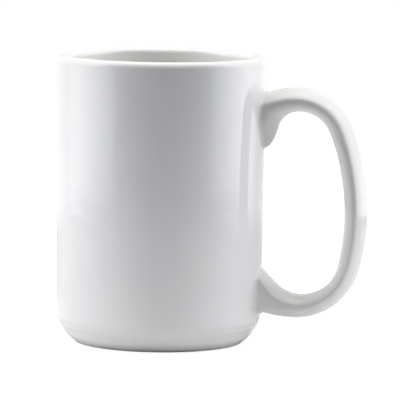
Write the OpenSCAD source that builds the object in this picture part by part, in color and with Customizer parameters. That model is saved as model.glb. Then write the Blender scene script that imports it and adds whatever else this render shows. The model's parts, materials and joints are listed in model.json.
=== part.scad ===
/* [Cup] */
// Outside diameter just under the lip
rim_d = 86; // [83:0.5:92]
// Outside diameter where the wall meets the shoulder above the foot
shoulder_d = 84; // [81:0.5:86]
// Height from the table to the top of the lip
cup_h = 118; // [100:1:135]
// Inside diameter of the glazed cup
bore_d = 76; // [70:0.5:77]
// Height of the inside floor above the table
floor_z = 6.5; // [5:0.5:9]
// Radius between the inside floor and the wall
corner_r = 9; // [4:0.5:14]

/* [Foot] */
// Outside diameter of the ring that the cup stands on
foot_d = 69.6; // [64:0.2:72]
// Width of the flat resting band
foot_w = 3; // [2:0.5:5]
// Depth of the hollow under the floor
recess_h = 2.2; // [1.5:0.1:3]
// Height of the lower turning line, where the bevel ends
bevel_z = 6; // [5:0.1:7]
// Outside diameter at the lower turning line
bevel_d = 79.4; // [77:0.2:80]
// Height of the upper turning line, where the rounded band ends
band_z = 8.8; // [8:0.1:9.5]
// Outside diameter at the upper turning line
band_d = 82.6; // [81.4:0.2:83]
// Height at which the straight wall starts
shoulder_z = 11; // [10:0.1:12]

/* [Glaze] */
// Thickness of the glaze coats
glaze_t = 0.35; // [0.25:0.05:0.5]
// Height of the bare band round the foot
bare_z = 1; // [0.6:0.1:1.4]

/* [Handle] */
// Distance from the cup's axis to the outside of the loop
handle_reach = 85.5; // [78:0.5:92]
// Drop from the lip to the top of the loop
handle_drop = 12.2; // [10:0.1:16]
// Gap between the table and the bottom of the loop
handle_lift = 11.3; // [11:0.1:14]
// Thickness of the loop at its top and bottom
handle_end_t = 9.6; // [8:0.1:11]
// Thickness of the loop at its side
handle_side_t = 9.2; // [8:0.1:11]
// Width of the loop at its side
handle_w = 17.5; // [14:0.5:18]
// Radius of the loop's long edges
handle_edge_r = 3; // [2:0.1:3.2]
// Width of the upper end on the wall
upper_pad_w = 19; // [18:0.5:21]
// Width of the lower end on the wall
lower_pad_w = 18; // [18:0.5:20]
// Thickness of the slip that sticks the handle on
slip_t = 0.6; // [0.4:0.1:1]

/* [Hidden] */
$fn = 128;

lip_r = (rim_d - bore_d) / 4;
lip_x = (rim_d + bore_d) / 4;
lip_z = cup_h - lip_r;
foot_round = 0.5;
recess_slope = 2;
past = 1;

// Loop outlines as [reach, side radius, side middle, top, top corner radius, bottom, bottom corner radius]
handle_top = cup_h - handle_drop;
mid_z = (handle_top + handle_lift) / 2 - 3;
outer_loop = [handle_reach, 95, mid_z, handle_top, 24, handle_lift, 27];
inner_loop = [handle_reach - handle_side_t, 93, mid_z - 1.5, handle_top - handle_end_t, 14,
              handle_lift + handle_end_t, 15.5];
loop_step = 6;
// Bends that take each outline from the loop's top or bottom towards the wall, as [radius, angle]
upper_run = [36, 21];
lower_run = [49, 14];
upper_throat = [9, 76];
lower_throat = [14, 46];
throat_steps = 5;
// Steps of each web's inner edge from its throat to the wall, as [towards the axis, along the wall]
upper_web = [[0.8, 4], [2.6, 6.8], [5.5, 8.4], [9, 9]];
lower_web = [[2.1, 3.2], [4.2, 6.4], [6, 8.2], [9, 9.5]];
web_turn = 2;
// Share of the loop's thickness at which it is widest, from the finger side
widest = 0.43;
face_steps = 2;
edge_steps = 3;
section_points = 4 * (face_steps + edge_steps);

bisque = [0.93, 0.91, 0.87];
slip = [0.90, 0.87, 0.81];
glaze = [0.96, 0.96, 0.95];

// ---- Cup profiles, radius along X and height along Y ----

module outer_profile(inset = 0) {
    polygon([[0, 0], [foot_d / 2 - inset - foot_round, 0], [foot_d / 2 - inset, foot_round],
             [foot_d / 2 + 3.1 - inset, 3], [bevel_d / 2 - inset, bevel_z],
             [(bevel_d + band_d) / 4 + 0.25 - inset, (bevel_z + band_z) / 2], [band_d / 2 - inset, band_z],
             [shoulder_d / 2 - 0.15 - inset, (band_z + shoulder_z) / 2], [shoulder_d / 2 - inset, shoulder_z],
             [rim_d / 2 - inset, lip_z], [0, lip_z]]);
    translate([lip_x, lip_z]) circle(lip_r - inset);
}

module bore_profile(grow = 0) {
    bore_r = bore_d / 2;
    low = floor_z - grow;
    turn = floor_z + corner_r;
    translate([0, turn]) square([bore_r + grow, lip_z - turn]);
    translate([0, low]) square([bore_r - corner_r, turn - low]);
    intersection() {
        translate([bore_r - corner_r, turn]) circle(corner_r + grow);
        translate([0, low]) square([bore_r + grow, turn - low]);
    }
}

module recess_profile(grow = 0) {
    recess_r = foot_d / 2 - foot_w + grow;
    polygon([[0, -past], [recess_r, -past], [recess_r, 0], [recess_r - recess_slope, recess_h + grow],
             [0, recess_h + grow]]);
}

// Solid inside the straight wall's clay surface, thicker by grow
module wall_cone(grow = 0) {
    rotate_extrude() polygon([[0, shoulder_z], [shoulder_d / 2 - glaze_t + grow, shoulder_z],
                              [rim_d / 2 - glaze_t + grow, lip_z], [0, lip_z]]);
}

// ---- Handle, swept through rings that each join an outer point to an inner point ----

function corner(loop, z, r) =
    [loop[0] - loop[1] + sqrt(pow(loop[1] - r, 2) - pow(z - loop[2], 2)), z];

// Point of a loop outline whose outward normal is at angle a
function loop_point(loop, a) = let (
        side = [loop[0] - loop[1], loop[2]],
        top = corner(loop, loop[3] - loop[4], loop[4]),
        bottom = corner(loop, loop[5] + loop[6], loop[6]),
        top_a = atan2(top[1] - side[1], top[0] - side[0]),
        bottom_a = atan2(bottom[1] - side[1], bottom[0] - side[0]),
        centre = a > top_a ? top : a < bottom_a ? bottom : side,
        r = a > top_a ? loop[4] : a < bottom_a ? loop[6] : loop[1])
    centre + r * [cos(a), sin(a)];

// Point at angle a round a bend that starts level at the apex; up is 1 at the top and -1 at the bottom
function bend_point(apex, r, a, up) = apex - r * [sin(a), up * (1 - cos(a))];

// Rings from the apex to inside the wall, each [outer point, inner point, width]
function root_rings(run, throat, web, pad_w, up) = let (
        out = loop_point(outer_loop, 90 * up),
        in = loop_point(inner_loop, 90 * up),
        throat_end = bend_point(in, throat[0], throat[1], up))
    concat(
        [for (i = [1:throat_steps]) let (s = i / throat_steps)
            [bend_point(out, run[0], run[1] * s, up), bend_point(in, throat[0], throat[1] * s, up),
             handle_w + (pad_w - handle_w) * s * s]],
        [for (i = [0:len(web) - 1])
            [bend_point(out, run[0], run[1] + web_turn * (i + 1), up),
             throat_end - [web[i][0], up * web[i][1]], pad_w]]);

upper_root = root_rings(upper_run, upper_throat, upper_web, upper_pad_w, 1);
lower_root = root_rings(lower_run, lower_throat, lower_web, lower_pad_w, -1);
rings = concat(
    [for (i = [len(upper_root) - 1:-1:0]) upper_root[i]],
    [for (a = [90:-loop_step:-90]) [loop_point(outer_loop, a), loop_point(inner_loop, a), handle_w]],
    lower_root);

// Points from the middle of a face to the widest line, as [height over that line, distance from the middle]
function half_section(deep, half_w, inset) = let (
        edge_y = half_w - handle_edge_r,
        face_r = (pow(edge_y, 2) + pow(deep, 2) - pow(handle_edge_r, 2)) / (2 * (deep - handle_edge_r)),
        turn = atan2(edge_y, face_r - deep))
    concat(
        [for (i = [0:face_steps - 1]) let (a = turn * i / face_steps)
            [deep - face_r + (face_r - inset) * cos(a), (face_r - inset) * sin(a)]],
        [for (i = [0:edge_steps]) let (a = turn + (90 - turn) * i / edge_steps)
            [(handle_edge_r - inset) * cos(a), edge_y + (handle_edge_r - inset) * sin(a)]]);

// Section of a ring: a crowned outer face and a flatter finger face, joined by round edges
function ring_points(ring, inset) = let (
        thick = norm(ring[0] - ring[1]),
        unit = (ring[0] - ring[1]) / thick,
        palm_t = widest * handle_side_t,
        back_t = handle_side_t - palm_t,
        palm = [for (p = half_section(palm_t, ring[2] / 2, inset)) [palm_t - p[0], p[1]]],
        back = [for (p = half_section(back_t, ring[2] / 2, inset)) [thick - back_t + p[0], p[1]]],
        last = len(palm) - 1,
        section = concat(
            [for (i = [0:last]) back[i]],
            [for (i = [last - 1:-1:0]) palm[i]],
            [for (i = [1:last]) [palm[i][0], -palm[i][1]]],
            [for (i = [last - 1:-1:1]) [back[i][0], -back[i][1]]]))
    [for (p = section) let (q = ring[1] + p[0] * unit) [q[0], p[1], q[1]]];

module sweep(inset = 0) {
    n = section_points;
    last = len(rings) - 1;
    points = [for (ring = rings) each ring_points(ring, inset)];
    sides = [for (i = [0:last - 1], k = [0:n - 1]) let (
            a = i * n + k,
            b = i * n + (k + 1) % n)
        each [[a, b, b + n], [a, b + n, a + n]]];
    caps = [[for (k = [n - 1:-1:0]) k], [for (k = [0:n - 1]) last * n + k]];
    polyhedron(points, concat(sides, caps));
}

// ---- Nodes ----

module mug_body() {
    color(bisque) rotate_extrude() difference() {
        outer_profile(glaze_t);
        bore_profile(glaze_t);
        recess_profile(glaze_t);
    }
}

module handle() {
    color(bisque) difference() {
        sweep(glaze_t);
        wall_cone(slip_t);
    }
}

module slip_layer() {
    intersection() {
        sweep(glaze_t);
        difference() {
            wall_cone(slip_t);
            wall_cone();
        }
    }
}

module upper_slip_joint() {
    color(slip) intersection() {
        slip_layer();
        translate([0, -rim_d / 2, mid_z]) cube([rim_d, rim_d, cup_h]);
    }
}

module lower_slip_joint() {
    color(slip) intersection() {
        slip_layer();
        translate([0, -rim_d / 2, mid_z - cup_h]) cube([rim_d, rim_d, cup_h]);
    }
}

module outer_glaze() {
    color(glaze) difference() {
        rotate_extrude() difference() {
            outer_profile();
            outer_profile(glaze_t);
            square([foot_d, bare_z]);
            translate([0, lip_z]) square([lip_x, lip_r + past]);
        }
        sweep();
    }
}

module liner_glaze() {
    color(glaze) rotate_extrude() {
        difference() {
            bore_profile(glaze_t);
            bore_profile();
        }
        intersection() {
            translate([lip_x, lip_z]) difference() {
                circle(lip_r);
                circle(lip_r - glaze_t);
            }
            translate([0, lip_z]) square([lip_x, lip_r + past]);
        }
    }
}

module handle_glaze() {
    color(glaze) difference() {
        difference() {
            sweep();
            wall_cone();
        }
        sweep(glaze_t);
    }
}

module base_glaze() {
    color(glaze) rotate_extrude() difference() {
        recess_profile(glaze_t);
        recess_profile();
        translate([0, -past]) square([foot_d, past + bare_z]);
    }
}

mug_body();
handle();
upper_slip_joint();
lower_slip_joint();
outer_glaze();
liner_glaze();
handle_glaze();
base_glaze();
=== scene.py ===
"""A white glazed ceramic mug on a pale table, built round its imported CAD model."""

import json
from collections import namedtuple
from math import atan2, ceil, cos, degrees, pi, radians, sin, sqrt

import bpy
import numpy as np
from mathutils import Matrix, Vector


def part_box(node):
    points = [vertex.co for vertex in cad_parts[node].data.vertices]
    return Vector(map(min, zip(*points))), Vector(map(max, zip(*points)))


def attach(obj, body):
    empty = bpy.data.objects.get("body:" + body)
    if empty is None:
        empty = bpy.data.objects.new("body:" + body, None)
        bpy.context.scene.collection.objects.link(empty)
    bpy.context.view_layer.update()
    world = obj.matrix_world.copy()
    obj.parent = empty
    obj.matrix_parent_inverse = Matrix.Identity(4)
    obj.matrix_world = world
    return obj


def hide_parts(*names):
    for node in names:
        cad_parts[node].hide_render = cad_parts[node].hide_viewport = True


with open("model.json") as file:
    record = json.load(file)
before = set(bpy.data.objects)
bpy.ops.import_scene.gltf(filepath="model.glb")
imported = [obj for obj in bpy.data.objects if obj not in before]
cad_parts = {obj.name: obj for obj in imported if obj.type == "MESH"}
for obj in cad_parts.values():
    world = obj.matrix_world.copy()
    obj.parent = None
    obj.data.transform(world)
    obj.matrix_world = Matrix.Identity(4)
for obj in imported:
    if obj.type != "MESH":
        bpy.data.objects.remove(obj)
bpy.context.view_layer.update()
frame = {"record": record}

MM = 0.001

# ---- Sizes, in metres: those of the frame first, then the shapes between them ----

bore = next(m for m in frame["record"]["mounts"] if m["name"] == "mouth_bore")

RIM_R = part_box("outer_glaze")[1].x
BARE_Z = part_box("outer_glaze")[0].z
CUP_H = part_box("liner_glaze")[1].z
BORE_R = bore["dims"]["r_mm"] * MM
GLAZE_T = 0.35 * MM
SLIP_T = 0.6 * MM
FLOOR_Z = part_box("liner_glaze")[0].z + GLAZE_T
RECESS_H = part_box("base_glaze")[1].z - GLAZE_T
LIP_R = (RIM_R - BORE_R) / 2
LIP_Z = CUP_H - LIP_R
CORNER_R = 9 * MM
CORNER_STEPS = 24

FOOT_R = 34.8 * MM
FOOT_W = 3 * MM
FOOT_EDGE_R = 0.5 * MM
# Width and height of the slope beside the foot, and the round at its top
FOOT_SLOPE = (3.1 * MM, 3 * MM)
FOOT_SLOPE_R = 5 * MM
# The hollow under the cup: how far its side leans in, and the round in its corner
RECESS_SLOPE = 2 * MM
RECESS_R = 1 * MM
# The steps over the foot, as (radius, height), and the round on the edges of the first two
BEVEL = (39.7 * MM, 6.0 * MM)
BAND = (41.3 * MM, 8.8 * MM)
SHOULDER = (42.0 * MM, 11.0 * MM)
STEP_EDGE_R = 0.5 * MM
SHOULDER_R = 3 * MM
# The bulge between the bevel and the band, and the dip between the band and the shoulder
BULGE = 0.25 * MM
BULGE_R = 4 * MM
DIP = 0.15 * MM
DIP_R = 2 * MM

HANDLE_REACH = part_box("handle_glaze")[1].x
HANDLE_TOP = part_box("handle_glaze")[1].z
HANDLE_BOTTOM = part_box("handle_glaze")[0].z

# A glaze skin's inner face stays this far off the clay under it
SKIN_T = GLAZE_T - 0.02 * MM

# Points round a turned piece, its longest row, steps of a round, rows over the lip, and its seam's first row
AROUND = 192
ROW_STEP = 2 * MM
ARC_STEPS = 8
LIP_ROWS = 24
SEAM_ROW = 0.5


# ---- Profiles in the (radius, height) plane ----

def rounded(corners):
    """The path through (radius, height, rounding) corners, with an arc at each that has a rounding."""
    points = []
    for i, (r, z, rounding) in enumerate(corners):
        here = np.array([r, z])
        if not rounding or i in (0, len(corners) - 1):
            points.append(here)
            continue
        before = np.array(corners[i - 1][:2]) - here
        after = np.array(corners[i + 1][:2]) - here
        before /= np.linalg.norm(before)
        after /= np.linalg.norm(after)
        half = np.arccos(np.clip(before @ after, -1, 1)) / 2
        centre = here + (before + after) / np.linalg.norm(before + after) * rounding / sin(half)
        first = here + before * rounding / np.tan(half) - centre
        last = here + after * rounding / np.tan(half) - centre
        start = atan2(first[1], first[0])
        turn = (atan2(last[1], last[0]) - start + pi) % (2 * pi) - pi
        for k in range(ARC_STEPS + 1):
            a = start + turn * k / ARC_STEPS
            points.append(centre + rounding * np.array([cos(a), sin(a)]))
    return points


def arc(centre, radius, start, end, steps):
    """Points round an arc, from one angle in degrees to another."""
    return [np.array(centre) + radius * np.array([cos(radians(a)), sin(radians(a))])
            for a in np.linspace(start, end, steps + 1)]


def with_rows(points):
    """The path with points added, so that no stretch is longer than a row."""
    path = [points[0]]
    for a, b in zip(points, points[1:]):
        length = np.linalg.norm(b - a)
        if length < 1e-7:
            continue
        count = ceil(length / ROW_STEP)
        path += [a + (b - a) * k / count for k in range(1, count + 1)]
    return np.array(path)


def inset(path, depth):
    """The path moved to the left of its direction of travel."""
    along = np.gradient(path, axis=0)
    along /= np.linalg.norm(along, axis=1)[:, None]
    moved = path + depth * np.stack([-along[:, 1], along[:, 0]], axis=1)
    moved[:, 0] = np.maximum(moved[:, 0], 0)
    return moved


def outside_path(start):
    """From the foot up the outside to the foot of the lip's round."""
    bulge = ((BEVEL[0] + BAND[0]) / 2 + BULGE, (BEVEL[1] + BAND[1]) / 2, BULGE_R)
    dip = (SHOULDER[0] - DIP, (BAND[1] + SHOULDER[1]) / 2, DIP_R)
    slope = (FOOT_R + FOOT_SLOPE[0], FOOT_SLOPE[1], FOOT_SLOPE_R)
    return rounded([start, slope, (*BEVEL, STEP_EDGE_R), bulge, (*BAND, STEP_EDGE_R), dip,
                    (*SHOULDER, SHOULDER_R), (RIM_R, LIP_Z, 0)])


def inside_path():
    """From the lip's round down the bore to the middle of the floor."""
    turn = (BORE_R - CORNER_R, FLOOR_Z + CORNER_R)
    return arc(turn, CORNER_R, 0, -90, CORNER_STEPS) + [np.array([0, FLOOR_Z])]


def outer_surface():
    """The glazed outside, from the bare foot to the foot of the lip's round."""
    out = FOOT_SLOPE[0] * (BARE_Z - FOOT_EDGE_R) / (FOOT_SLOPE[1] - FOOT_EDGE_R)
    return with_rows(outside_path((FOOT_R + out, BARE_Z, 0)))


def liner_surface():
    """The glaze over the lip and inside, to the middle of the floor.

    A first short row keeps the seam smooth.
    """
    lip = (RIM_R - LIP_R, LIP_Z)
    seam = arc(lip, LIP_R, 0, SEAM_ROW, 1)
    return with_rows(seam + arc(lip, LIP_R, 180 / LIP_ROWS, 180, LIP_ROWS - 1) + inside_path())


def skin(surface):
    """Closed outline of a glaze coat: its surface, and back along the clay."""
    return np.concatenate([surface, inset(surface, SKIN_T)[::-1]])


def clay_outline():
    """The clay cup: from the middle of the hollow under it, round the foot, over the lip and to the floor."""
    hollow = RECESS_H + GLAZE_T
    hollow_r = FOOT_R - FOOT_W + GLAZE_T
    coated = inset(np.concatenate([outer_surface(), liner_surface()[1:]]), GLAZE_T)
    under = rounded([(0, hollow, 0), (hollow_r - RECESS_SLOPE, hollow, RECESS_R), (hollow_r, 0, FOOT_EDGE_R),
                     (FOOT_R - GLAZE_T, 0, FOOT_EDGE_R), (*coated[0], 0)])
    return np.concatenate([with_rows(under), coated[1:]])


def base_outline():
    """The glaze in the hollow under the cup: its surface from edge to middle, and back on the clay."""
    hollow_r = FOOT_R - FOOT_W
    edge = (hollow_r - RECESS_SLOPE * BARE_Z / RECESS_H, BARE_Z, 0)
    surface = with_rows(rounded([edge, (hollow_r - RECESS_SLOPE, RECESS_H, RECESS_R), (0, RECESS_H, 0)]))
    return np.concatenate([surface, inset(surface, -SKIN_T)[::-1]])


# ---- Meshes ----

def make(name, vertices, faces, material):
    mesh = bpy.data.meshes.new(name)
    mesh.from_pydata([tuple(v) for v in vertices], [], faces)
    mesh.validate()
    mesh.shade_smooth()
    mesh.materials.append(material)
    obj = bpy.data.objects.new(name, mesh)
    bpy.context.scene.collection.objects.link(obj)
    return obj


def sharpen(obj, points, rings):
    """Sharp shading along whole rings of the mesh, which has this many points to a ring."""
    for edge in obj.data.edges:
        ring = edge.vertices[0] // points
        if ring in rings and edge.vertices[1] // points == ring:
            edge.use_edge_sharp = True


def lathe(name, path, material, sharp=()):
    """A closed solid turned round Z, with sharp edges at the numbered rows.

    The path starts and ends on the axis, or else it is closed on itself.
    """
    vertices = []
    rows = []
    for r, z in path:
        if r < 1e-6:
            rows.append([len(vertices)])
            vertices.append((0, 0, z))
        else:
            rows.append(list(range(len(vertices), len(vertices) + AROUND)))
            vertices += [(r * cos(a), r * sin(a), z) for a in np.arange(AROUND) * 2 * pi / AROUND]
    pairs = list(zip(rows, rows[1:]))
    if len(rows[0]) > 1 and len(rows[-1]) > 1:
        pairs.append((rows[-1], rows[0]))
    faces = []
    for low, high in pairs:
        if len(low) == 1 and len(high) == 1:
            continue
        for k in range(AROUND):
            n = (k + 1) % AROUND
            if len(low) == 1:
                faces.append((low[0], high[n], high[k]))
            elif len(high) == 1:
                faces.append((low[k], low[n], high[0]))
            else:
                faces.append((low[k], low[n], high[n], high[k]))
    obj = make(name, vertices, faces, material)
    sharpen(obj, AROUND, sharp)
    return obj


# ---- Handle: lines that run from the upper root round the loop to the lower root ----

Loop = namedtuple("Loop", "reach side_r mid_z top top_r bottom bottom_r")
Root = namedtuple("Root", "up run_r run_turn throat_r throat_turn web_drop web_reach web_fall pad_w palm_r "
                  "taper pinch")

END_T = 9.6 * MM
SIDE_T = 9.2 * MM
HANDLE_W = 17.5 * MM
MID_Z = (HANDLE_TOP + HANDLE_BOTTOM) / 2 - 3 * MM
OUTER = Loop(HANDLE_REACH, 95 * MM, MID_Z, HANDLE_TOP, 24 * MM, HANDLE_BOTTOM, 27 * MM)
INNER = Loop(HANDLE_REACH - SIDE_T, 93 * MM, MID_Z - 1.5 * MM, HANDLE_TOP - END_T, 14 * MM,
             HANDLE_BOTTOM + END_T, 15.5 * MM)
UPPER = Root(1, 36 * MM, 21, 9 * MM, 76, 12 * MM, 9 * MM, 7.5 * MM, 19 * MM, 2.6 * MM, 1, 0.7)
LOWER = Root(-1, 49 * MM, 14, 14 * MM, 46, 6 * MM, 9 * MM, 9 * MM, 17.5 * MM, 1 * MM, 0, 0.05)

# The handle is widest at this share of its thickness, measured from the finger side
WIDEST = 0.47
# Radius of the long edges, towards the outside of the loop and towards the fingers
BACK_EDGE_R = 2 * MM
PALM_EDGE_R = 4 * MM
# Share of the width lost towards the fingers
PINCH = 0.35
# At the bottom of the loop the finger side is already wider, with tighter edges
LOW_EDGE_R = 2.2 * MM
LOW_PINCH = 0.15
LOW_EDGE_FROM = -30
# A tapered section keeps its full width down to this share of its height
HINGE = 0.3
# How a section narrows towards the fingers, as a power of the height, and what the taper takes off it
NARROWING = 2
TAPER_NARROWING = 0.7
# The outer line turns this much further past the throat's end, in degrees
PAST_THROAT_TURN = 8
# Where along a root its full width, and its full pinch, are reached
PAD_FULL_AT = 1.3
PINCH_FULL_AT = 1.5
# Steps: degrees round the loop, rings of a root, samples along a root, rings of a round and of the slip
LOOP_STEP = 2
ROOT_STEPS = 40
ROOT_SAMPLES = 241
FILLET_STEPS = 10
SLIP_RINGS = 4
QUARTER_POINTS = 20
SECTION_POINTS = 4 * QUARTER_POINTS
# Length of the round between the handle and the wall: over the handle, beside it, and at the end of its web
FILLET_OVER = 2.5 * MM
FILLET_BESIDE = 1.8 * MM
FILLET_TIP = 1 * MM
# The round ends this far off the wall, so that the two surfaces never coincide
WALL_GAP = 0.004 * MM


def polar(radius, angle):
    return radius * np.array([cos(radians(angle)), sin(radians(angle))])


def heading(vector):
    return degrees(atan2(vector[1], vector[0]))


def loop_point(loop, angle):
    """Point of a loop's outline whose outward normal is at the angle."""
    side = np.array([loop.reach - loop.side_r, loop.mid_z])

    def corner(z, r):
        return np.array([side[0] + sqrt((loop.side_r - r) ** 2 - (z - side[1]) ** 2), z])

    top = corner(loop.top - loop.top_r, loop.top_r)
    bottom = corner(loop.bottom + loop.bottom_r, loop.bottom_r)
    if angle > heading(top - side):
        return top + polar(loop.top_r, angle)
    if angle < heading(bottom - side):
        return bottom + polar(loop.bottom_r, angle)
    return side + polar(loop.side_r, angle)


def bend_point(apex, r, angle, up):
    """Point at an angle round a bend that starts level at the apex."""
    return apex - r * np.array([sin(radians(angle)), up * (1 - cos(radians(angle)))])


def eased(share):
    share = min(max(share, 0), 1)
    return share * share * (3 - 2 * share)


def loop_ring(angle):
    """A section of the loop: outer point, inner point, width, finger-side edge radius, taper and pinch."""
    low = eased((LOW_EDGE_FROM - angle) / (LOW_EDGE_FROM + 90))
    palm_r = PALM_EDGE_R + (LOW_EDGE_R - PALM_EDGE_R) * low
    pinch = PINCH + (LOW_PINCH - PINCH) * low
    return loop_point(OUTER, angle), loop_point(INNER, angle), HANDLE_W, palm_r, 0, pinch


def root_ring(root, s):
    """A section of a root at s: 0 at the loop, 1 at the throat's end, 2 past the wall."""
    out_turn = root.run_turn * min(s, 1) + PAST_THROAT_TURN * max(s - 1, 0)
    out = bend_point(loop_point(OUTER, 90 * root.up), root.run_r, out_turn, root.up)
    apex, inner, _, palm_r, _, pinch = loop_ring(90 * root.up)
    inner = bend_point(inner, root.throat_r, root.throat_turn * min(s, 1), root.up)
    if s > 1:
        t = s - 1
        down = np.array([-cos(radians(root.throat_turn)), -root.up * sin(radians(root.throat_turn))])
        bend = inner + down * root.web_drop
        end = np.array([inner[0] - root.web_reach, inner[1] - root.up * root.web_fall])
        inner = (1 - t) ** 2 * inner + 2 * t * (1 - t) * bend + t * t * end
    width = HANDLE_W + (root.pad_w - HANDLE_W) * eased(s / PAD_FULL_AT)
    palm_r += (root.palm_r - palm_r) * eased(s)
    pinch += (root.pinch - pinch) * eased(s / PINCH_FULL_AT)
    return out, inner, width, palm_r, root.taper * eased(s), pinch


def half_section(deep, half_w, edge_r, depth):
    """Points from the middle of a face to the widest line, as (height over it, distance from the middle)."""
    edge_y = half_w - edge_r
    face_r = (edge_y ** 2 + deep ** 2 - edge_r ** 2) / (2 * (deep - edge_r))
    turn = atan2(edge_y, face_r - deep)
    lengths = face_r * turn, edge_r * (pi / 2 - turn)
    points = []
    for run in np.linspace(0, sum(lengths), QUARTER_POINTS + 1):
        if run < lengths[0]:
            a = run / face_r
            points.append([deep - face_r + (face_r - depth) * cos(a), (face_r - depth) * sin(a)])
        else:
            a = turn + (run - lengths[0]) / edge_r
            points.append([(edge_r - depth) * cos(a), edge_y + (edge_r - depth) * sin(a)])
    return np.array(points)


def ring_points(ring, depth):
    """The points of one section, in (X, Y, Z), at a depth under the surface."""
    outer, inner, width, palm_r, taper, pinch = ring
    thick = np.linalg.norm(outer - inner)
    unit = (outer - inner) / thick
    palm_t = WIDEST * SIDE_T
    back_t = SIDE_T - palm_t
    palm = half_section(palm_t, width / 2, palm_r, depth)
    back = half_section(back_t, width / 2, BACK_EDGE_R, depth)
    # The part of a thicker section that is over the loop's thickness is flat, or with the taper all round
    palm_t += taper * (thick - SIDE_T)
    back_x = back[:, 0] + thick - back_t
    palm_x = palm_t - palm_t * palm[:, 0] / (WIDEST * SIDE_T)
    level = 1 - palm_x / (thick - back_t)
    flank = HINGE * taper
    narrower = np.maximum((level - flank) / (1 - flank), 0) ** (NARROWING - TAPER_NARROWING * taper)
    palm_side = palm[:, 1] * (1 - pinch * narrower)
    x = np.concatenate([back_x, palm_x[-2::-1], palm_x[1:], back_x[-2:0:-1]])
    side = np.concatenate([back[:, 1], palm_side[-2::-1], -palm_side[1:], -back[-2:0:-1, 1]])
    return np.stack([inner[0] + x * unit[0], side, inner[1] + x * unit[1]], axis=1)


def wall_radius(z):
    """Radius of the straight wall's surface."""
    return SHOULDER[0] + (RIM_R - SHOULDER[0]) * (z - SHOULDER[1]) / (LIP_Z - SHOULDER[1])


def on_wall(points):
    """Points as (distance round the wall, height, distance off the wall)."""
    radius = np.hypot(points[:, 0], points[:, 1])
    return np.stack([np.arctan2(points[:, 1], points[:, 0]) * RIM_R, points[:, 2],
                     radius - wall_radius(points[:, 2])], axis=1)


def off_wall(places):
    """The way back from on_wall."""
    angle = places[:, 0] / RIM_R
    radius = places[:, 2] + wall_radius(places[:, 1])
    return np.stack([radius * np.cos(angle), radius * np.sin(angle), places[:, 1]], axis=1)


def root_lines(root, depth, level, fillet=None):
    """Rings from the loop's end to a level off the wall. With fillets, the last ones curve out along it."""
    fine = np.linspace(0, 2, ROOT_SAMPLES)
    grid = np.array([on_wall(ring_points(root_ring(root, s), depth)) for s in fine])
    rings = np.zeros((ROOT_STEPS + 1, SECTION_POINTS, 3))
    tips = np.zeros((SECTION_POINTS, 3))
    for k in range(SECTION_POINTS):
        line = grid[:, k]
        hit = np.argmax(line[:, 2] < level)
        share = (line[hit - 1, 2] - level) / (line[hit - 1, 2] - line[hit, 2])
        s_end = fine[hit - 1] + share * (fine[hit] - fine[hit - 1])
        tips[k] = [np.interp(s_end, fine, line[:, c]) for c in range(3)]
        if fillet is not None:
            run = np.concatenate([[0], np.cumsum(np.linalg.norm(np.diff(line, axis=0), axis=1))])
            s_end = np.interp(np.interp(s_end, fine, run) - fillet[k], run, fine)
        for j, s in enumerate(np.linspace(0, s_end, ROOT_STEPS + 1)):
            rings[j, k] = [np.interp(s, fine, line[:, c]) for c in range(3)]
    rings = list(rings)
    if fillet is not None:
        rings += flare(rings[-1], tips, fillet)
    return [off_wall(r) for r in rings]


def flare(starts, tips, fillet):
    """Rings that leave the handle's surface and end flat on the wall, a fillet's length outside its tips."""
    along = np.roll(tips, -1, axis=0) - np.roll(tips, 1, axis=0)
    away = np.stack([along[:, 1], -along[:, 0]], axis=1)
    away /= np.linalg.norm(away, axis=1)[:, None]
    if np.mean(np.sum(away * (tips[:, :2] - tips[:, :2].mean(axis=0)), axis=1)) < 0:
        away = -away
    ends = tips.copy()
    ends[:, :2] += away * fillet[:, None]
    rings = []
    for t in np.arange(1, FILLET_STEPS + 1) / FILLET_STEPS:
        rings.append((1 - t) ** 2 * starts + 2 * t * (1 - t) * tips + t * t * ends)
    return rings


def handle_rings(depth, level, fillet=None):
    """All rings from the upper end on the wall to the lower one."""
    loop = [ring_points(loop_ring(a), depth) for a in np.arange(90, -90.5, -LOOP_STEP)]
    upper = root_lines(UPPER, depth, level, fillet)
    return upper[::-1] + loop[1:-1] + root_lines(LOWER, depth, level, fillet)


def ring_faces(count, closed):
    """Quads between rings, and either a joint from the last ring to the first or a cap on each."""
    n = SECTION_POINTS
    faces = []
    for j in range(count if closed else count - 1):
        a = j * n
        b = (j + 1) % count * n
        for k in range(n):
            m = (k + 1) % n
            faces.append((a + k, a + m, b + m, b + k))
    if not closed:
        faces.append(tuple(range(n))[::-1])
        faces.append(tuple(range((count - 1) * n, count * n)))
    return faces


def handle_skin(name, material):
    """The handle's glaze: its surface, and a second one on the clay, joined where they meet the wall."""
    outside = handle_rings(0, WALL_GAP, fillet_lengths())
    rings = outside + handle_rings(SKIN_T, -SKIN_T)[::-1]
    coat = make(name, np.concatenate(rings), ring_faces(len(rings), True), material)
    sharpen(coat, SECTION_POINTS, (0, len(outside) - 1))
    return coat


def handle_clay(name, material):
    """The handle's clay, down to the slip at each end."""
    rings = handle_rings(GLAZE_T, SLIP_T - GLAZE_T)
    return make(name, np.concatenate(rings), ring_faces(len(rings), False), material)


def slip_joint(name, root, material):
    """The layer of slip between the clay handle and the clay wall."""
    levels = np.linspace(SLIP_T, 0, SLIP_RINGS) - GLAZE_T
    rings = [root_lines(root, GLAZE_T, level)[-1] for level in levels]
    if root.up > 0:
        rings = rings[::-1]
    return make(name, np.concatenate(rings), ring_faces(len(rings), False), material)


def fillet_lengths():
    """Length of the round at each point of a section, from the middle of the outer face."""
    angle = np.arange(SECTION_POINTS) * 2 * pi / SECTION_POINTS
    ends = np.where(np.cos(angle) > 0, FILLET_OVER, FILLET_TIP)
    return ends + (FILLET_BESIDE - ends) * np.sin(angle) ** 2


# ---- Materials ----

GLAZE_IOR = 1.52
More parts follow.
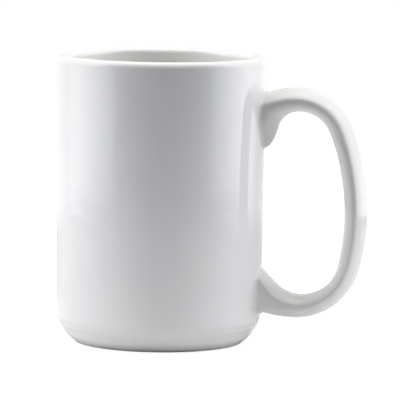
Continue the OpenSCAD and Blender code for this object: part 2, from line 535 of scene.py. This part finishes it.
# Blotches in the glaze's colour, gloss and surface: their sizes, and how far they go
MOTTLE_SIZE = 22 * MM
MOTTLE_DETAIL = 4
MOTTLE_SPAN = (0.35, 0.65)
GLOSS_SIZE = 9 * MM
GLOSS_SPAN = (0.3, 0.7)
GLOSS_ROUGHNESS = (0.05, 0.085)
RIPPLE_SIZE = 7 * MM
RIPPLE_DETAIL = 1
RIPPLE_DEPTH = 0.035 * MM
# Over the bare foot the glaze thins out: up to this height, and letting this share of the clay through
THIN_H = 0.6 * MM
THIN_SHARE = 0.35
THIN_COLOUR = (0.7, 0.66, 0.6, 1)

TONE_SIZE = 6 * MM
TONE_DETAIL = 5
TONE_SPAN = (0.3, 0.7)
SPECK_SIZE = 0.5 * MM
SPECK_DETAIL = 1
SPECK_SPAN = (0.68, 0.74)
SPECK_COLOUR = (0.4, 0.34, 0.28, 1)
MATT_SIZE = 3 * MM
MATT_SPAN = (0.3, 0.7)
MATT_ROUGHNESS = (0.72, 0.9)
GRAIN_DETAIL = 3
GRAIN_DEPTH = 0.06 * MM


def new_material(name):
    material = bpy.data.materials.new(name)
    material.use_nodes = True
    return material, material.node_tree.nodes, material.node_tree.links


def math_node(nodes, links, operation, *values):
    node = nodes.new("ShaderNodeMath")
    node.operation = operation
    for socket, value in zip(node.inputs, values):
        if isinstance(value, bpy.types.NodeSocket):
            links.new(value, socket)
        else:
            socket.default_value = value
    return node.outputs[0]


def blend_node(nodes, links, value, start, end, low=0, high=1):
    """A smooth change from low to high as the value goes from start to end."""
    node = nodes.new("ShaderNodeMapRange")
    node.interpolation_type = "SMOOTHSTEP"
    links.new(value, node.inputs["Value"])
    node.inputs["From Min"].default_value = start
    node.inputs["From Max"].default_value = end
    node.inputs["To Min"].default_value = low
    node.inputs["To Max"].default_value = high
    return node.outputs["Result"]


def mix_colours(nodes, links, share, a, b, kind="MIX"):
    node = nodes.new("ShaderNodeMix")
    node.data_type = "RGBA"
    node.blend_type = kind
    for socket, value in zip((node.inputs["Factor"], *node.inputs[6:8]), (share, a, b)):
        if isinstance(value, bpy.types.NodeSocket):
            links.new(value, socket)
        else:
            socket.default_value = value
    return node.outputs[2]


def cloud(nodes, links, size, detail=2):
    """Soft noise whose blotches are about this size, in metres of the object."""
    place = nodes.new("ShaderNodeTexCoord")
    noise = nodes.new("ShaderNodeTexNoise")
    noise.inputs["Scale"].default_value = 1 / size
    noise.inputs["Detail"].default_value = detail
    links.new(place.outputs["Object"], noise.inputs["Vector"])
    return noise.outputs["Fac"]


def add_bump(nodes, links, shader, height, depth):
    bump = nodes.new("ShaderNodeBump")
    bump.inputs["Strength"].default_value = 1
    bump.inputs["Distance"].default_value = depth
    links.new(height, bump.inputs["Height"])
    links.new(bump.outputs["Normal"], shader.inputs["Normal"])


def glaze_material(name, thick, thin):
    """Glossy white glaze: faintly mottled, gently uneven, and thin over the foot, where the clay shows."""
    material, nodes, links = new_material(name)
    shader = nodes["Principled BSDF"]
    shader.inputs["IOR"].default_value = GLAZE_IOR
    mottle = blend_node(nodes, links, cloud(nodes, links, MOTTLE_SIZE, MOTTLE_DETAIL), *MOTTLE_SPAN)
    colour = mix_colours(nodes, links, mottle, (*thick, 1), (*thin, 1))
    split = nodes.new("ShaderNodeSeparateXYZ")
    place = nodes.new("ShaderNodeTexCoord")
    links.new(place.outputs["Object"], split.inputs[0])
    foot = blend_node(nodes, links, split.outputs["Z"], BARE_Z, BARE_Z + THIN_H, THIN_SHARE, 0)
    links.new(mix_colours(nodes, links, foot, colour, THIN_COLOUR), shader.inputs["Base Color"])
    gloss = blend_node(nodes, links, cloud(nodes, links, GLOSS_SIZE), *GLOSS_SPAN, *GLOSS_ROUGHNESS)
    links.new(gloss, shader.inputs["Roughness"])
    add_bump(nodes, links, shader, cloud(nodes, links, RIPPLE_SIZE, RIPPLE_DETAIL), RIPPLE_DEPTH)
    return material


def clay_material(name, light, dark, grain):
    """Fired clay: matt, a little uneven in tone, with a fine grain."""
    material, nodes, links = new_material(name)
    shader = nodes["Principled BSDF"]
    tone = blend_node(nodes, links, cloud(nodes, links, TONE_SIZE, TONE_DETAIL), *TONE_SPAN)
    colour = mix_colours(nodes, links, tone, (*light, 1), (*dark, 1))
    speck = blend_node(nodes, links, cloud(nodes, links, SPECK_SIZE, SPECK_DETAIL), *SPECK_SPAN)
    links.new(mix_colours(nodes, links, speck, colour, SPECK_COLOUR), shader.inputs["Base Color"])
    rough = blend_node(nodes, links, cloud(nodes, links, MATT_SIZE), *MATT_SPAN, *MATT_ROUGHNESS)
    links.new(rough, shader.inputs["Roughness"])
    add_bump(nodes, links, shader, cloud(nodes, links, grain, GRAIN_DETAIL), GRAIN_DEPTH)
    return material


glaze = glaze_material("white_glaze", (0.868, 0.868, 0.872), (0.85, 0.853, 0.862))
# The handle's glaze is the same white, warmed a little: the warm tint is painted bounce light from the table.
painted_bounce_glaze = glaze_material("handle_glaze", (0.872, 0.866, 0.857), (0.855, 0.848, 0.836))
# The liner's lighter, warmer tone is partly painted bounce light from inside the cup; the glaze under the
# foot uses it too.
liner = glaze_material("liner_glaze", (0.91, 0.908, 0.892), (0.897, 0.892, 0.874))
# The bisque's dark tan is partly painted shade: it darkens the bare foot to stand in for the dark contact
# line under the cup.
bisque = clay_material("bisque", (0.66, 0.62, 0.57), (0.56, 0.52, 0.46), 0.4 * MM)
slip = clay_material("slip", (0.7, 0.65, 0.58), (0.62, 0.56, 0.48), 0.25 * MM)

# ---- Pieces ----

outer = outer_surface()

PIECES = (
    (lathe("cup_clay", clay_outline(), bisque), "bisque", ("mug_body",)),
    (lathe("outer_glaze_skin", skin(outer), glaze, (0, len(outer) - 1)), "glaze", ("outer_glaze",)),
    (lathe("liner_glaze_skin", skin(liner_surface()), liner, (0,)), "glaze", ("liner_glaze",)),
    (lathe("base_glaze_skin", base_outline(), liner, (0,)), "glaze", ("base_glaze",)),
    (handle_clay("handle_clay", bisque), "bisque", ("handle",)),
    (handle_skin("handle_glaze_skin", painted_bounce_glaze), "glaze", ("handle_glaze",)),
    (slip_joint("upper_slip", UPPER, slip), "slip", ("upper_slip_joint",)),
    (slip_joint("lower_slip", LOWER, slip), "slip", ("lower_slip_joint",)),
)

for piece, slot, nodes in PIECES:
    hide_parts(*nodes)
    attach(piece, "root")

# ---- Camera, at the photograph's angle ----

CAMERA_D = 1.608
CAMERA_H = 0.2385
CAMERA_TURN = radians(8)
PITCH = radians(6.392)
YAW = radians(0.586)
ROLL = radians(-0.718)
LENS = 354.3
SENSOR_W = 36


def add_camera():
    data = bpy.data.cameras.new("camera")
    data.lens = LENS
    data.sensor_width = SENSOR_W
    camera = bpy.data.objects.new("camera", data)
    bpy.context.scene.collection.objects.link(camera)
    turn = Matrix.Rotation(CAMERA_TURN, 4, "Z")
    look = turn @ Matrix.Rotation(-YAW, 4, "Z") @ Matrix.Rotation(pi / 2 - PITCH, 4, "X")
    look = look @ Matrix.Rotation(-ROLL, 4, "Z")
    camera.matrix_world = Matrix.Translation(turn @ Vector((0, -CAMERA_D, CAMERA_H))) @ look
    bpy.context.scene.camera = camera


add_camera()

# ---- Light: a white tent round the table, brightest at the sides and dark behind the camera ----

# Brightness of the tent at angles from the camera's side, in degrees: near the table, then higher up
TENT_LOW = ((0, 0.0), (36, 0.0), (52, 0.3), (60, 1.95), (80, 2.95),
            (98, 3.1), (113, 2.6), (130, 1.25), (180, 1.0))
TENT_HIGH = ((0, 0.0), (36, 0.0), (58, 0.2), (68, 1.3), (77, 3.2),
             (96, 3.2), (107, 2.2), (122, 0.9), (180, 0.6))
TENT_TOP = 2.3
# A brightness of the tent that is over all of the above: the ramps hold shares of it
TENT_PEAK = 4
TENT_CENTRE = radians(3)
# Where the tent's lower edge, the change from low to high and the change to the top are, as the sine of the
# angle over the table
TENT_UNDER = (-0.135, -0.118)
TENT_RISE = (0, 0.16)
TENT_CAP = (0.82, 0.95)
# The light is cool from the front and neutral from the sides, with the change between these angles
TENT_FRONT_TINT = (0.86, 0.94, 1.16, 1)
TENT_SIDE_TINT = (1.012, 1, 0.982, 1)
TENT_TINT_TURN = (45 / 180, 100 / 180)
TOP_TINT = (1.04, 1.02, 0.98)

# The table is white and glows a little. Its colour and glow are darker towards the camera and away from the
# cup: painted shade in front and far out, which leaves a painted pool of light round the cup. Its rim fades
# to nothing, so that its reflection has no edge
TABLE_HALF = 520 * MM
TABLE_DROP = 0.3 * MM
TABLE_TINT = (1, 0.99, 0.975)
TABLE_GLOW = 0.06
TABLE_WHITE = 0.7
TABLE_FRONT_SHADE = 0.68
TABLE_FADE = (-150 * MM, -60 * MM)
TABLE_FAR_SHADE = 0.72
TABLE_FAR_FADE = (80 * MM, 200 * MM)
TABLE_CLEAR = (300 * MM, 520 * MM)
FLOOR_HALF = 900 * MM
FLOOR_DROP = 0.05 * MM
FLOOR_WHITE = 0.12
FLOOR_GLOW = 0.93


def brightness_ramp(nodes, links, share, stops):
    """The tent's brightness at a share of the half turn from the camera's side, as a share of its peak."""
    ramp = nodes.new("ShaderNodeValToRGB")
    while len(ramp.color_ramp.elements) < len(stops):
        ramp.color_ramp.elements.new(0.5)
    for element, (angle, level) in zip(ramp.color_ramp.elements, stops):
        grey = level / TENT_PEAK
        element.position = angle / 180
        element.color = (grey, grey, grey, 1)
    links.new(share, ramp.inputs["Fac"])
    return ramp.outputs["Color"]


def add_tent():
    """The world: the tent as light, and plain white wherever the camera sees it."""
    world = bpy.data.worlds.new("tent")
    world.use_nodes = True
    nodes, links = world.node_tree.nodes, world.node_tree.links
    place = nodes.new("ShaderNodeTexCoord")
    turn = nodes.new("ShaderNodeVectorRotate")
    turn.rotation_type = "Z_AXIS"
    turn.inputs["Angle"].default_value = -CAMERA_TURN - TENT_CENTRE
    links.new(place.outputs["Generated"], turn.inputs["Vector"])
    split = nodes.new("ShaderNodeSeparateXYZ")
    links.new(turn.outputs[0], split.inputs[0])
    to_camera = math_node(nodes, links, "MULTIPLY", split.outputs["Y"], -1)
    angle = math_node(nodes, links, "ARCTAN2", split.outputs["X"], to_camera)
    share = math_node(nodes, links, "DIVIDE", math_node(nodes, links, "ABSOLUTE", angle), pi)
    low = brightness_ramp(nodes, links, share, TENT_LOW)
    high = brightness_ramp(nodes, links, share, TENT_HIGH)
    height = split.outputs["Z"]
    level = mix_colours(nodes, links, blend_node(nodes, links, height, *TENT_RISE), low, high)
    under = blend_node(nodes, links, height, *TENT_UNDER)
    level = mix_colours(nodes, links, under, (0, 0, 0, 1), level)
    to_side = blend_node(nodes, links, share, *TENT_TINT_TURN)
    tint = mix_colours(nodes, links, to_side, TENT_FRONT_TINT, TENT_SIDE_TINT)
    level = mix_colours(nodes, links, 1, level, tint, "MULTIPLY")
    top = [TENT_TOP / TENT_PEAK * tint for tint in TOP_TINT] + [1]
    level = mix_colours(nodes, links, blend_node(nodes, links, height, *TENT_CAP), level, top)
    light = nodes["Background"]
    light.inputs["Strength"].default_value = TENT_PEAK
    links.new(level, light.inputs["Color"])
    backdrop = nodes.new("ShaderNodeBackground")
    backdrop.inputs["Color"].default_value = (1, 1, 1, 1)
    rays = nodes.new("ShaderNodeLightPath")
    mix = nodes.new("ShaderNodeMixShader")
    links.new(rays.outputs["Is Camera Ray"], mix.inputs[0])
    links.new(light.outputs[0], mix.inputs[1])
    links.new(backdrop.outputs[0], mix.inputs[2])
    links.new(mix.outputs[0], nodes["World Output"].inputs["Surface"])
    bpy.context.scene.world = world


def table_material():
    """Matt white that glows a little, with painted shade in front and far out, and clear at the rim."""
    material, nodes, links = new_material("table")
    shader = nodes["Principled BSDF"]
    shader.inputs["Roughness"].default_value = 1
    shader.inputs["Specular IOR Level"].default_value = 0
    shader.inputs["Emission Color"].default_value = (*TABLE_TINT, 1)
    place = nodes.new("ShaderNodeTexCoord")
    split = nodes.new("ShaderNodeSeparateXYZ")
    links.new(place.outputs["Object"], split.inputs[0])
    # Painted shade: the table's colour and glow drop towards the camera and away from the cup, leaving a
    # painted pool of light round it.
    front = blend_node(nodes, links, split.outputs["Y"], *TABLE_FADE, TABLE_FRONT_SHADE, 1)
    distance = nodes.new("ShaderNodeVectorMath")
    distance.operation = "LENGTH"
    links.new(place.outputs["Object"], distance.inputs[0])
    far = blend_node(nodes, links, distance.outputs["Value"], *TABLE_FAR_FADE, 1, TABLE_FAR_SHADE)
    share = math_node(nodes, links, "MULTIPLY", front, far)
    links.new(math_node(nodes, links, "MULTIPLY", share, TABLE_GLOW), shader.inputs["Emission Strength"])
    white = nodes.new("ShaderNodeCombineColor")
    for socket, level in zip(white.inputs, TABLE_TINT):
        links.new(math_node(nodes, links, "MULTIPLY", share, TABLE_WHITE * level), socket)
    links.new(white.outputs[0], shader.inputs["Base Color"])
    clear = blend_node(nodes, links, distance.outputs["Value"], *TABLE_CLEAR, 1, 0)
    links.new(clear, shader.inputs["Alpha"])
    return material


def floor_material():
    """A white glowing table top, with just enough plain white on it to show where the cup stands."""
    material, nodes, links = new_material("floor")
    shader = nodes["Principled BSDF"]
    shader.inputs["Base Color"].default_value = (FLOOR_WHITE, FLOOR_WHITE, FLOOR_WHITE, 1)
    shader.inputs["Roughness"].default_value = 1
    shader.inputs["Specular IOR Level"].default_value = 0
    shader.inputs["Emission Color"].default_value = (1, 1, 1, 1)
    shader.inputs["Emission Strength"].default_value = FLOOR_GLOW
    return material


def square_top(name, half, height, material):
    """A square top under the cup, in line with the camera."""
    corners = [(-half, -half, height), (half, -half, height), (half, half, height), (-half, half, height)]
    top = make(name, corners, [(0, 1, 2, 3)], material)
    top.rotation_euler.z = CAMERA_TURN
    return top


def add_floor():
    """The floor that the camera sees, and under it the table that lights the cup from below."""
    floor = square_top("floor", FLOOR_HALF, -FLOOR_DROP, floor_material())
    floor.visible_diffuse = False
    floor.visible_glossy = False
    floor.visible_shadow = False
    table = square_top("table", TABLE_HALF, -TABLE_DROP, table_material())
    table.visible_camera = False


add_tent()
add_floor()
bpy.context.scene.view_settings.view_transform = "Standard"
